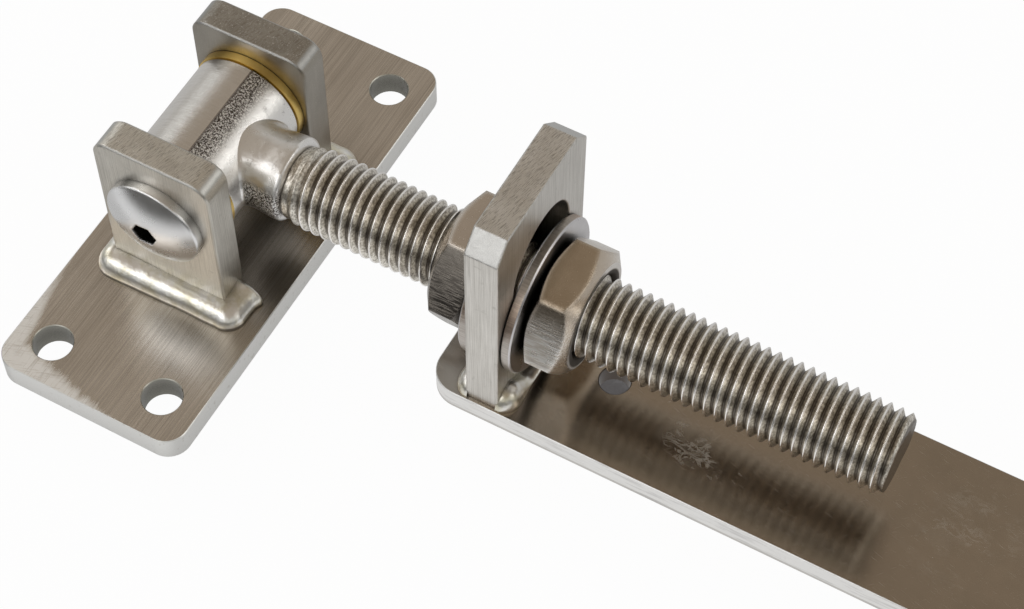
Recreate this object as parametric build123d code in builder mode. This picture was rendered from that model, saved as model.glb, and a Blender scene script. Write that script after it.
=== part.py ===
from build123d import *
import math
import os

# Adjustable hinge: a bolt-on base plate with two upright lugs, a pivot pin through the
# lugs, an eye bolt that swings on the pin, and a strap bracket clamped on the threaded
# stud between two nuts.
# Frame: the origin is the centre of the base plate's underside. X runs along the stud,
# Y along the pivot pin and the long side of the plate, Z up from the plate.
# All sizes are in millimetres.

# Base plate
PLATE_W = 48.8
PLATE_L = 119.9
PLATE_T = 6.8
PLATE_CORNER_R = 5.4
PLATE_HOLE_D = 9.3
PLATE_HOLE_EDGE_X = 9.7
PLATE_HOLE_EDGE_Y = 10.15
SHEET_BREAK = 0.2
EDGE_BREAK = 0.4

# Pivot pin: a sleeve with a domed head at the rear and a domed screw from the front
PIVOT_RISE = 26.5
PIN_D = 12.0
PIN_LUG_CLEAR = 0.05
PIN_SETBACK = 1.2
HEAD_D = 23.6
HEAD_EDGE = 2.3
HEAD_DOME = 3.3
HEAD_RIM_R = 0.6
SOCKET_AF = 5.6
SOCKET_DEPTH = 3.6
SOCKET_TURN = 4.0
SCREW_D = 8.0
SCREW_L = 26.0
SCREW_FIT = 0.05
SCREW_BORE_EXTRA = 4.0

# Flanged bearing bushes
PIN_FIT = 0.05
BUSH_WALL = 2.0
BUSH_L = 12.0
BUSH_PRESS_GAP = 0.02
FLANGE_T = 2.0
FLANGE_STEP = 0.25
FLANGE_PLAY = 0.12

# Eye bolt: barrel, neck and stud, with distances along the stud from the pivot
BARREL_D = 26.7
BARREL_L = 27.1
BARREL_CHAMFER = 0.5
NECK_R = 10.9
NECK_TO = 13.6
WAIST_R = 9.4
WAIST_TO = 18.3
COLLAR_R = 10.05
COLLAR_TO = 21.0
STUD_D = 19.05
THREAD_FROM = 22.6
STUD_REACH = 167.5
STUD_END_CHAMFER = 1.0

# Upright lugs
LUG_W = 29.8
LUG_T = 8.0
LUG_H = 45.2
LUG_CORNER_R = 4.6

# Lug welds: a convex bead round the front and both sides of each lug
LUG_BEAD_TOE = 5.5
LUG_BEAD_SIDE = 3.8
LUG_BEAD_H = 4.8
LUG_BEAD_TOP = 0.9
LUG_BEAD_BULGE_SHARE = 0.8

# Jam nuts
NUT_AF = 28.575
NUT_T = 10.7
NUT_FIT = 0.05
NUT_FACE_SHARE = 0.88
NUT_CHAMFER_ANGLE = 33.0
NUT_MOUTH = 0.7
INNER_NUT_TURN = 56.0
OUTER_NUT_TURN = 7.0

# Washers
WASHER_D = 36.8
WASHER_T = 2.4
WASHER_CLEAR = 0.75
WASHER_EDGE = 0.35

# Bracket: a slotted upright lug on a flat strap
LUG_REACH = 75.2
BRACKET_W = 38.5
BRACKET_T = 7.9
BRACKET_RISE = 37.6
BRACKET_CORNER = 4.5
SLOT_PLAY = 2.675
SLOT_LOW = 0.9
SLOT_HIGH = 14.4
STRAP_W = 40.6
STRAP_T = 5.6
STRAP_L = 200.0
STRAP_CORNER_R = 7.0
STRAP_SETBACK = 10.0
STRAP_WASHER_GAP = 3.05
STRAP_HOLE_D = 7.2
STRAP_HOLE_NEAR = 19.1
STRAP_HOLE_END = 20.0

# Bracket welds: a bead along each foot of the bracket lug, low under the washers
BEAD_LEG = 3.8
BEAD_END_H = 4.6
BEAD_MID_H = 0.9
BEAD_BULGE_SHARE = 0.62
BEAD_INSET = 0.1

# Derived positions
PIVOT_Z = PLATE_T + PIVOT_RISE
BUSH_BORE_R = PIN_D / 2 + PIN_FIT
BUSH_R = BUSH_BORE_R + BUSH_WALL
FLANGE_R = BARREL_D / 2 + FLANGE_STEP
LUG_IN = BARREL_L / 2 + FLANGE_T + FLANGE_PLAY
LUG_OUT = LUG_IN + LUG_T
HOLE_X = PLATE_W / 2 - PLATE_HOLE_EDGE_X
HOLE_Y = PLATE_L / 2 - PLATE_HOLE_EDGE_Y
STRAP_TOP = PIVOT_Z - WASHER_D / 2 - STRAP_WASHER_GAP
STRAP_BOTTOM = STRAP_TOP - STRAP_T
STRAP_FROM = LUG_REACH - STRAP_SETBACK
LUG_BACK = LUG_REACH + BRACKET_T
INNER_WASHER_X = LUG_REACH - WASHER_T
INNER_NUT_X = INNER_WASHER_X - NUT_T
OUTER_WASHER_X = LUG_BACK
OUTER_NUT_X = OUTER_WASHER_X + WASHER_T
SLOT_W = STUD_D + 2 * SLOT_PLAY
STUD_AXIS = Axis((0, 0, PIVOT_Z), (1, 0, 0))
PIVOT_AXIS = Axis((0, 0, PIVOT_Z), (0, 1, 0))

os.makedirs("parts", exist_ok=True)


# Base plate, drilled near its four corners
with BuildPart() as base_plate:
    with BuildSketch(Plane.XY):
        RectangleRounded(PLATE_W, PLATE_L, PLATE_CORNER_R)
        with GridLocations(2 * HOLE_X, 2 * HOLE_Y, 2, 2):
            Circle(PLATE_HOLE_D / 2, mode=Mode.SUBTRACT)
    extrude(amount=PLATE_T)
    chamfer(base_plate.faces().filter_by(Axis.Z).edges(), length=SHEET_BREAK)
base_plate.part.label = "base_plate"
export_step(base_plate.part, "parts/base_plate.step")


# Upright lugs, bored for the pivot pin, with rounded top corners
with BuildPart() as front_lug:
    with BuildSketch(Plane.XZ.offset(LUG_IN)) as lug_face:
        with Locations((0, PLATE_T)):
            Rectangle(LUG_W, LUG_H, align=(Align.CENTER, Align.MIN))
        fillet(lug_face.vertices().group_by(Axis.Y)[-1], radius=LUG_CORNER_R)
        with Locations((0, PIVOT_Z)):
            Circle(PIN_D / 2 + PIN_LUG_CLEAR, mode=Mode.SUBTRACT)
    extrude(amount=LUG_T)
    lug_rims = front_lug.faces().filter_by(Axis.Y).edges()
    chamfer([e for e in lug_rims if e.center().Z > PLATE_T + EDGE_BREAK], length=EDGE_BREAK)
front_lug.part.label = "front_lug"
export_step(front_lug.part, "parts/front_lug.step")

with BuildPart() as rear_lug:
    mirror(front_lug.part, about=Plane.XZ)
rear_lug.part.label = "rear_lug"
export_step(rear_lug.part, "parts/rear_lug.step")


# Lug welds: each bead is a convex collar round the lug's foot, open on the inner side.
# Each level is a share of the bead's height and the share of its leg left there.
LUG_BEAD_LEVELS = [(0.0, 1.0), (0.5, LUG_BEAD_BULGE_SHARE), (1.0, 0.0)]
with BuildPart() as front_lug_weld:
    for level, share in LUG_BEAD_LEVELS:
        side = LUG_BEAD_TOP + (LUG_BEAD_SIDE - LUG_BEAD_TOP) * share
        toe = LUG_BEAD_TOP + (LUG_BEAD_TOE - LUG_BEAD_TOP) * share
        with BuildSketch(Plane.XY.offset(PLATE_T + level * LUG_BEAD_H)) as ring:
            with Locations((0, -LUG_IN)):
                Rectangle(LUG_W + 2 * side, LUG_T + toe, align=(Align.CENTER, Align.MAX))
            fillet(ring.vertices().group_by(Axis.Y)[0], radius=side)
    loft(ruled=True)
    with Locations((0, -LUG_IN, PLATE_T)):
        Box(
            LUG_W,
            LUG_T,
            LUG_H,
            align=(Align.CENTER, Align.MAX, Align.MIN),
            mode=Mode.SUBTRACT,
        )
front_lug_weld.part.label = "front_lug_weld"
export_step(front_lug_weld.part, "parts/front_lug_weld.step")

with BuildPart() as rear_lug_weld:
    mirror(front_lug_weld.part, about=Plane.XZ)
rear_lug_weld.part.label = "rear_lug_weld"
export_step(rear_lug_weld.part, "parts/rear_lug_weld.step")


# Pivot screw, in from the front, with a domed head and a hexagon socket.
# The dome is a spherical cap, and DOME_MID is its height halfway out from the axis.
HEAD_R = HEAD_D / 2
HEAD_TOP = LUG_OUT + HEAD_EDGE + HEAD_DOME
DOME_R = (HEAD_R ** 2 + HEAD_DOME ** 2) / (2 * HEAD_DOME)
DOME_MID = math.sqrt(DOME_R ** 2 - HEAD_R ** 2 / 4) - DOME_R + HEAD_DOME
SCREW_END = LUG_OUT - SCREW_L
with BuildPart() as pivot_screw:
    with BuildSketch(Plane.YZ) as screw_half:
        with BuildLine():
            Polyline(
                (-HEAD_TOP, PIVOT_Z),
                (-SCREW_END, PIVOT_Z),
                (-SCREW_END, PIVOT_Z + SCREW_D / 2 - EDGE_BREAK),
                (-SCREW_END - EDGE_BREAK, PIVOT_Z + SCREW_D / 2),
                (-LUG_OUT, PIVOT_Z + SCREW_D / 2),
                (-LUG_OUT, PIVOT_Z + HEAD_R),
                (-LUG_OUT - HEAD_EDGE, PIVOT_Z + HEAD_R),
            )
            ThreePointArc(
                (-LUG_OUT - HEAD_EDGE, PIVOT_Z + HEAD_R),
                (-LUG_OUT - HEAD_EDGE - DOME_MID, PIVOT_Z + HEAD_R / 2),
                (-HEAD_TOP, PIVOT_Z),
            )
        make_face()
        screw_rim = screw_half.vertices().sort_by_distance((-LUG_OUT - HEAD_EDGE, PIVOT_Z + HEAD_R))
        fillet(screw_rim[0], radius=HEAD_RIM_R)
    revolve(axis=PIVOT_AXIS)
    with BuildSketch(Plane.XZ.offset(HEAD_TOP)):
        with Locations((0, PIVOT_Z)):
            RegularPolygon(SOCKET_AF / 2, 6, major_radius=False, rotation=SOCKET_TURN)
    extrude(amount=-SOCKET_DEPTH, mode=Mode.SUBTRACT)
pivot_screw.part.label = "pivot_screw"
export_step(pivot_screw.part, "parts/pivot_screw.step")


# Pivot sleeve: the plain pin, headed at the rear and bored from the front for the screw
SLEEVE_FRONT = PIN_SETBACK - LUG_OUT
SLEEVE_BORE_END = SCREW_BORE_EXTRA - SCREW_END
SLEEVE_BORE_R = SCREW_D / 2 + SCREW_FIT
with BuildPart() as pivot_sleeve:
    with BuildSketch(Plane.YZ) as sleeve_half:
        with BuildLine():
            Polyline(
                (HEAD_TOP, PIVOT_Z),
                (SLEEVE_BORE_END, PIVOT_Z),
                (SLEEVE_BORE_END, PIVOT_Z + SLEEVE_BORE_R),
                (SLEEVE_FRONT, PIVOT_Z + SLEEVE_BORE_R),
                (SLEEVE_FRONT, PIVOT_Z + PIN_D / 2),
                (LUG_OUT, PIVOT_Z + PIN_D / 2),
                (LUG_OUT, PIVOT_Z + HEAD_R),
                (LUG_OUT + HEAD_EDGE, PIVOT_Z + HEAD_R),
            )
            ThreePointArc(
                (LUG_OUT + HEAD_EDGE, PIVOT_Z + HEAD_R),
                (LUG_OUT + HEAD_EDGE + DOME_MID, PIVOT_Z + HEAD_R / 2),
                (HEAD_TOP, PIVOT_Z),
            )
        make_face()
        sleeve_rim = sleeve_half.vertices().sort_by_distance((LUG_OUT + HEAD_EDGE, PIVOT_Z + HEAD_R))
        fillet(sleeve_rim[0], radius=HEAD_RIM_R)
    revolve(axis=PIVOT_AXIS)
    with BuildSketch(Plane.XZ.offset(-HEAD_TOP)):
        with Locations((0, PIVOT_Z)):
            RegularPolygon(SOCKET_AF / 2, 6, major_radius=False, rotation=SOCKET_TURN)
    extrude(amount=SOCKET_DEPTH, mode=Mode.SUBTRACT)
pivot_sleeve.part.label = "pivot_sleeve"
export_step(pivot_sleeve.part, "parts/pivot_sleeve.step")


# Flanged bushes, pressed in from both ends of the barrel
with BuildPart() as front_bush:
    with BuildSketch(Plane.XZ.offset(BARREL_L / 2)):
        with Locations((0, PIVOT_Z)):
            Circle(FLANGE_R)
            Circle(BUSH_BORE_R, mode=Mode.SUBTRACT)
    extrude(amount=FLANGE_T)
    with BuildSketch(Plane.XZ.offset(BARREL_L / 2)):
        with Locations((0, PIVOT_Z)):
            Circle(BUSH_R)
            Circle(BUSH_BORE_R, mode=Mode.SUBTRACT)
    extrude(amount=-BUSH_L)
front_bush.part.label = "front_bush"
export_step(front_bush.part, "parts/front_bush.step")

with BuildPart() as rear_bush:
    mirror(front_bush.part, about=Plane.XZ)
rear_bush.part.label = "rear_bush"
export_step(rear_bush.part, "parts/rear_bush.step")


# Eye bolt: the barrel, the neck and stud turned about the stud's axis, and the bore for
# the bushes. The stud is plain, at the outside diameter of its thread.
with BuildPart() as eye_bolt:
    with BuildSketch(Plane.XZ.offset(-BARREL_L / 2)):
        with Locations((0, PIVOT_Z)):
            Circle(BARREL_D / 2)
    extrude(amount=BARREL_L)
    chamfer(eye_bolt.faces().filter_by(Axis.Y).edges(), length=BARREL_CHAMFER)
    with BuildSketch(Plane.XZ):
        with BuildLine():
            Line((BUSH_R, PIVOT_Z), (BUSH_R, PIVOT_Z + BARREL_D / 2 - BUSH_R))
            Spline(
                (BUSH_R, PIVOT_Z + BARREL_D / 2 - BUSH_R),
                (NECK_TO, PIVOT_Z + NECK_R),
                (WAIST_TO, PIVOT_Z + WAIST_R),
                (COLLAR_TO, PIVOT_Z + COLLAR_R),
            )
            Polyline(
                (COLLAR_TO, PIVOT_Z + COLLAR_R),
                (THREAD_FROM, PIVOT_Z + STUD_D / 2),
                (STUD_REACH - STUD_END_CHAMFER, PIVOT_Z + STUD_D / 2),
                (STUD_REACH, PIVOT_Z + STUD_D / 2 - STUD_END_CHAMFER),
                (STUD_REACH, PIVOT_Z),
                (BUSH_R, PIVOT_Z),
            )
        make_face()
    revolve(axis=STUD_AXIS)
    with BuildSketch(Plane.XZ.offset(-BARREL_L / 2)):
        with Locations((0, PIVOT_Z)):
            Circle(BUSH_R + BUSH_PRESS_GAP)
    extrude(amount=BARREL_L, mode=Mode.SUBTRACT)
eye_bolt.part.label = "eye_bolt"
export_step(eye_bolt.part, "parts/eye_bolt.step")


# Jam nuts: a hexagon, its corners cut back by a cone at both faces, bored and chamfered
NUT_BORE_R = STUD_D / 2 + NUT_FIT
NUT_FACE_R = NUT_AF / 2 * NUT_FACE_SHARE
NUT_CORNER_R = NUT_AF / math.sqrt(3) + 0.2
NUT_CONE = (NUT_CORNER_R - NUT_FACE_R) * math.tan(math.radians(NUT_CHAMFER_ANGLE))
with BuildPart() as inner_nut:
    with BuildSketch(Plane.YZ.offset(INNER_NUT_X)):
        with Locations((0, PIVOT_Z)):
            RegularPolygon(NUT_AF / 2, 6, major_radius=False, rotation=INNER_NUT_TURN)
    extrude(amount=NUT_T)
    with BuildSketch(Plane.XZ):
        with BuildLine():
            Polyline(
                (INNER_NUT_X, PIVOT_Z + NUT_BORE_R + NUT_MOUTH),
                (INNER_NUT_X, PIVOT_Z + NUT_FACE_R),
                (INNER_NUT_X + NUT_CONE, PIVOT_Z + NUT_CORNER_R),
                (INNER_NUT_X + NUT_T - NUT_CONE, PIVOT_Z + NUT_CORNER_R),
                (INNER_NUT_X + NUT_T, PIVOT_Z + NUT_FACE_R),
                (INNER_NUT_X + NUT_T, PIVOT_Z + NUT_BORE_R + NUT_MOUTH),
                (INNER_NUT_X + NUT_T - NUT_MOUTH, PIVOT_Z + NUT_BORE_R),
                (INNER_NUT_X + NUT_MOUTH, PIVOT_Z + NUT_BORE_R),
                close=True,
            )
        make_face()
    revolve(axis=STUD_AXIS, mode=Mode.INTERSECT)
inner_nut.part.label = "inner_nut"
export_step(inner_nut.part, "parts/inner_nut.step")

with BuildPart() as outer_nut:
    with Locations((OUTER_NUT_X - INNER_NUT_X, 0, 0)):
        add(inner_nut.part.rotate(STUD_AXIS, OUTER_NUT_TURN - INNER_NUT_TURN))
outer_nut.part.label = "outer_nut"
export_step(outer_nut.part, "parts/outer_nut.step")


# Plain washers, one on each side of the bracket lug
with BuildPart() as inner_washer:
    with BuildSketch(Plane.YZ.offset(INNER_WASHER_X)):
        with Locations((0, PIVOT_Z)):
            Circle(WASHER_D / 2)
            Circle(STUD_D / 2 + WASHER_CLEAR, mode=Mode.SUBTRACT)
    extrude(amount=WASHER_T)
    chamfer(inner_washer.faces().filter_by(Axis.X).edges(), length=WASHER_EDGE)
inner_washer.part.label = "inner_washer"
export_step(inner_washer.part, "parts/inner_washer.step")

with BuildPart() as outer_washer:
    with Locations((OUTER_WASHER_X - INNER_WASHER_X, 0, 0)):
        add(inner_washer.part)
outer_washer.part.label = "outer_washer"
export_step(outer_washer.part, "parts/outer_washer.step")


# Bracket lug, with its top corners cut off and an upright slot that lets the bracket
# move up and down on the stud
with BuildPart() as bracket_lug:
    with BuildSketch(Plane.YZ.offset(LUG_REACH)) as bracket_face:
        with Locations((0, STRAP_TOP)):
            Rectangle(
                BRACKET_W,
                PIVOT_Z + BRACKET_RISE - STRAP_TOP,
                align=(Align.CENTER, Align.MIN),
            )
        chamfer(bracket_face.vertices().group_by(Axis.Y)[-1], length=BRACKET_CORNER)
        with Locations((0, PIVOT_Z + (SLOT_LOW + SLOT_HIGH) / 2)):
            SlotCenterToCenter(
                SLOT_HIGH - SLOT_LOW,
                SLOT_W,
                rotation=90,
                mode=Mode.SUBTRACT,
            )
    extrude(amount=BRACKET_T)
    bracket_rims = bracket_lug.faces().filter_by(Axis.X).edges()
    chamfer([e for e in bracket_rims if e.center().Z > STRAP_TOP + SHEET_BREAK], length=SHEET_BREAK)
bracket_lug.part.label = "bracket_lug"
export_step(bracket_lug.part, "parts/bracket_lug.step")


# Strap, drilled for its fixing screws
with BuildPart() as strap:
    with BuildSketch(Plane.XY.offset(STRAP_BOTTOM)):
        with Locations((STRAP_FROM + STRAP_L / 2, 0)):
            RectangleRounded(STRAP_L, STRAP_W, STRAP_CORNER_R)
        with Locations(
            (LUG_BACK + STRAP_HOLE_NEAR, 0),
            (STRAP_FROM + STRAP_L - STRAP_HOLE_END, 0),
        ):
            Circle(STRAP_HOLE_D / 2, mode=Mode.SUBTRACT)
    extrude(amount=STRAP_T)
    chamfer(strap.faces().filter_by(Axis.Z).edges(), length=SHEET_BREAK)
strap.part.label = "strap"
export_step(strap.part, "parts/strap.step")


# Bracket welds: each bead is full at the strap's edges and low under the washer.
# Each station is a share of the strap's half width and the share of full height there.
BEAD_STATIONS = [(-1.0, 1.0), (-0.7, 0.9), (-0.4, 0.2), (0.0, 0.0), (0.4, 0.2), (0.7, 0.9), (1.0, 1.0)]
BEAD_HALF = STRAP_W / 2 - SHEET_BREAK - BEAD_INSET
with BuildPart() as bracket_weld_outer:
    for across, share in BEAD_STATIONS:
        bead_h = BEAD_MID_H + (BEAD_END_H - BEAD_MID_H) * share
        with BuildSketch(Plane.XZ.offset(-across * BEAD_HALF)):
            with BuildLine():
                Polyline(
                    (LUG_BACK, STRAP_TOP),
                    (LUG_BACK + BEAD_LEG, STRAP_TOP),
                    (LUG_BACK + BEAD_LEG * BEAD_BULGE_SHARE, STRAP_TOP + bead_h * BEAD_BULGE_SHARE),
                    (LUG_BACK, STRAP_TOP + bead_h),
                    close=True,
                )
            make_face()
    loft(ruled=True)
bracket_weld_outer.part.label = "bracket_weld_outer"
export_step(bracket_weld_outer.part, "parts/bracket_weld_outer.step")

with BuildPart() as bracket_weld_inner:
    mirror(bracket_weld_outer.part, about=Plane.YZ.offset(LUG_REACH + BRACKET_T / 2))
bracket_weld_inner.part.label = "bracket_weld_inner"
export_step(bracket_weld_inner.part, "parts/bracket_weld_inner.step")
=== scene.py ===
# %% [markdown]
# An adjustable hinge is a small piece of steelwork: a drilled plate with two upright
# lugs, a pin through the lugs, an eye bolt that swings on the pin, and a strap that two
# nuts clamp on the bolt's thread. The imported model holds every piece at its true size.
# This lesson adds what a machinist would see close up: the real spiral of the thread,
# the ripples of the weld beads, and the finish of each metal.

import math

import bpy
import numpy as np
from mathutils import Euler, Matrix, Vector


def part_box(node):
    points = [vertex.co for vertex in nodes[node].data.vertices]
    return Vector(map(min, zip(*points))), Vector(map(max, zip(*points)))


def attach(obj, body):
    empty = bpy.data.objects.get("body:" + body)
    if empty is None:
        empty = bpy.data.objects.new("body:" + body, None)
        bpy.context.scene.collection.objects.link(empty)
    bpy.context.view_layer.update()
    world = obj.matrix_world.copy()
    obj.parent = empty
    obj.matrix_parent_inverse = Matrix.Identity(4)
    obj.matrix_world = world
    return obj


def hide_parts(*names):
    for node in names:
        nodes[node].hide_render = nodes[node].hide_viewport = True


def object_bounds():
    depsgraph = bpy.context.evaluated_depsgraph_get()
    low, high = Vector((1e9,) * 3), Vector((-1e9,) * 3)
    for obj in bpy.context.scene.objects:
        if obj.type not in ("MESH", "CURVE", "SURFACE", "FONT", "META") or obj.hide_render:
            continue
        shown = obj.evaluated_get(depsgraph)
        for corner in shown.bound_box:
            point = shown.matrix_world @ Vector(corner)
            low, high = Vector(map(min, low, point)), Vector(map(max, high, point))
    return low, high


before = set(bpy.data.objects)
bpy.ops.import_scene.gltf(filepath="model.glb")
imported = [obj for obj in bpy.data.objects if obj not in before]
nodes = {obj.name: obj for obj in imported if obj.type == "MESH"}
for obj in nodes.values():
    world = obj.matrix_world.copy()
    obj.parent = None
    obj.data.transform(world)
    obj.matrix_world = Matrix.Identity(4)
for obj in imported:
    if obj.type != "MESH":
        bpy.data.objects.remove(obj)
cad_low, cad_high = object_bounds()
MM = 0.001
print("CAD box in mm:", [round(v / MM, 1) for v in (*cad_low, *cad_high)])

# %% [markdown]
# The main sizes that the new pieces share with the model, in millimetres, read from its
# boxes. A piece that is worked out from them still fits when the model's sizes change.

# %% Sizes read from the model
plate_low, plate_high = (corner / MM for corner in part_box("base_plate"))
lug_low, lug_high = (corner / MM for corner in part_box("front_lug"))
bolt_low, bolt_high = (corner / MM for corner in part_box("eye_bolt"))
slotted_low, slotted_high = (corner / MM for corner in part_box("bracket_lug"))
strap_low, strap_high = (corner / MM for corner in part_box("strap"))
plate_top = plate_high.z
barrel_r = -bolt_low.x
barrel_half = bolt_high.y
pivot_z = (bolt_high.z + bolt_low.z) / 2
stud_reach = bolt_high.x
print("pivot height", round(pivot_z, 2), "barrel radius", round(barrel_r, 2))

# %% [markdown]
# The camera stands where the photographer stood: in front of the pivot, to the right,
# and looking steeply down, through a long lens. Its place and angles were worked out
# from the plate's corners, the holes and the edges of the stud and strap.

# %% Camera
camera_data = bpy.data.cameras.new("camera")
camera_data.lens = 83.477
camera_data.sensor_width = 36.0
camera_data.clip_start = 0.01
camera_data.clip_end = 30.0
camera = bpy.data.objects.new("camera", camera_data)
camera.location = (0.21289, -0.25319, 0.45963)
camera.rotation_euler = Euler([math.radians(a) for a in (33.3943, -0.2827, 28.8106)])
bpy.context.scene.collection.objects.link(camera)
bpy.context.scene.camera = camera
print("camera", round(camera.location.length, 3), "m from the plate")

# %% [markdown]
# Shader maths reads best as plain arithmetic, so a socket is wrapped in a small class
# that knows +, -, *, ** and abs(). Every other node comes from one method, node(), that
# takes the node's type, its settings and what goes into its sockets. Two of Blender's
# nodes do much of the work here: Ambient Occlusion finds the corners that get painted
# shade, and Bevel makes a sharp edge look rounded without a single new face.

# %% Shader maths
# The colour of painted shade, laid where ambient occlusion finds little open space round a point.
PAINTED_SHADE_COLOUR = (0.055, 0.05, 0.042)


class Field:
    """A socket of a node tree, with arithmetic that adds Math nodes."""

    def __init__(self, finish, socket):
        self.finish = finish
        self.socket = socket

    def math(self, operation, a, b=0.0):
        return self.finish.node("Math", {"operation": operation}, {0: a, 1: b})

    def __add__(self, other):
        return self.math("ADD", self, other)

    def __sub__(self, other):
        return self.math("SUBTRACT", self, other)

    def __rsub__(self, other):
        return self.math("SUBTRACT", other, self)

    def __mul__(self, other):
        return self.math("MULTIPLY", self, other)

    def __pow__(self, other):
        return self.math("POWER", self, other)

    def __abs__(self):
        return self.math("ABSOLUTE", self)

    __radd__ = __add__
    __rmul__ = __mul__


class Finish:
    """The node tree of a material or of the room, made one call at a time."""

    def __init__(self, owner):
        self.owner = owner
        owner.use_nodes = True
        self.tree = owner.node_tree
        self.tree.nodes.clear()

    def node(self, kind, settings=None, sockets=None, out=0):
        made = self.tree.nodes.new("ShaderNode" + kind)
        for key, value in (settings or {}).items():
            setattr(made, key, value)
        for key, value in (sockets or {}).items():
            target = made.inputs[key]
            if isinstance(value, Field):
                self.tree.links.new(value.socket, target)
            elif target.type == "RGBA":
                target.default_value = (*value, 1.0)
            else:
                target.default_value = value
        return Field(self, made.outputs[out]) if len(made.outputs) else None

    def place(self, scale=(1, 1, 1), turn=0.0, shift=(0, 0, 0)):
        """Object coordinates in millimetres, turned about Z, less shift, divided by scale."""
        where = self.node("Mapping", {}, {
            "Vector": self.node("TexCoord", out="Object"),
            "Location": tuple(-c for c in shift),
            "Rotation": (0, 0, math.radians(turn)),
            "Scale": (1 / MM,) * 3,
        })
        return self.node("Mapping", {}, {"Vector": where, "Scale": tuple(1 / s for s in scale)})

    def noise(self, scale, detail=3.0, roughness=0.55, turn=0.0, shift=(0, 0, 0), distortion=0.0):
        """Cloudy noise from 0 to 1 whose blobs are about scale millimetres across."""
        return self.node("TexNoise", {}, {
            "Vector": self.place(scale, turn, shift),
            "Scale": 1.0,
            "Detail": detail,
            "Roughness": roughness,
            "Distortion": distortion,
        })

    def step(self, value, low, high):
        """0 below low, 1 above high, and a smooth ramp between, or the other way round."""
        return self.node("MapRange", {"interpolation_type": "SMOOTHSTEP"}, {
            "Value": value,
            "From Min": low,
            "From Max": high,
        })

    def mix(self, factor, a, b):
        """Colour a where factor is 0 and colour b where it is 1."""
        return self.node("Mix", {"data_type": "RGBA"}, {0: factor, 6: a, 7: b}, out=2)

    def at(self, letter, turn=0.0, shift=(0, 0, 0)):
        """One coordinate of the shaded point, in millimetres."""
        return self.node("SeparateXYZ", {}, {0: self.place(turn=turn, shift=shift)}, out=letter)

    def facing(self, letter):
        """One part of the surface's own direction, from -1 to 1."""
        return self.node("SeparateXYZ", {}, {0: self.node("TexCoord", out="Normal")}, out=letter)

    def bump(self, height, distance, under=None):
        """Relief of that many millimetres, laid over the relief under it."""
        sockets = {"Height": height, "Distance": distance * MM, "Strength": 1.0}
        if under:
            sockets["Normal"] = under
        return self.node("Bump", {}, sockets)

    def largest(self, first, *others):
        """The largest of several fields."""
        for other in others:
            first = self.node("Math", {"operation": "MAXIMUM"}, {0: first, 1: other})
        return first

    def distance(self, a, b):
        """How far a point is from the origin when it lies a one way and b across it:
        the square root of a times a plus b times b."""
        return (a * a + b * b) ** 0.5

    def rounded(self, radius):
        """The surface's direction as if each sharp edge had that radius, in millimetres."""
        return self.node("Bevel", {"samples": 4}, {"Radius": radius * MM})

    def metal(self, colour, roughness, normal, metallic=1.0, shade_strength=0.75, reach=4.0):
        """Bare metal of that colour and roughness, with painted shade, a darker colour, where little light
        gets.
        """
        open_to = self.node("AmbientOcclusion", {"samples": 4}, {"Distance": reach * MM}, out="AO")
        # Painted shade: the colour darkens where ambient occlusion finds corners and parts close by.
        deep = self.step(open_to, 0.75, 0.15) * shade_strength
        surface = self.node("BsdfPrincipled", {}, {
            "Base Color": self.mix(deep, colour, PAINTED_SHADE_COLOUR),
            "Metallic": metallic,
            "Roughness": roughness,
            "Normal": normal,
        })
        self.node("OutputMaterial", {}, {"Surface": surface})
        return self.owner


def new_finish(name):
    """An empty finish with a material of its own."""
    return Finish(bpy.data.materials.new(name))


def dress(material, *parts):
    """Give that material to those parts of the model."""
    for part in parts:
        nodes[part].material_slots[0].material = material
    print(material.name, "on", ", ".join(parts))


print("shader helpers ready")

# %% [markdown]
# Metal shows what is round it, so the room matters as much as the lamps. The floor is
# white to the eye. In mirrors it is bright near the hinge, which is what the upright
# faces show, and it dims farther off. It lies just below the lowest place that the strap
# reaches, since the bracket can slide 16.8 mm down its slot. Round the horizon lies a
# dark band in front and a pale one behind, over it a pale wall, and overhead a dull warm
# brown, which is what the flat tops of the plate and the strap mirror.

# %% Floor and room
FLOOR_HALF = 6.0
FLOOR_GAP = 0.0003
SHADE_REACH = 0.05
SLOT_TRAVEL = 16.8
# In mirrors the floor turns bright between these places, in millimetres
NEAR_Y = (-199.0, -94.0)
BRIGHTER_X = (33.0, 55.0)
BRIGHTER_Y = (17.0, -7.0)
FRONT_Y = (-61.0, -73.0)
# The shade under the strap: its middle line, where it fades out and where it starts
SHADE_Y = 12.0
SHADE_HALF = (19.0, 15.0)
SHADE_X = (66.0, 72.0)


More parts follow.
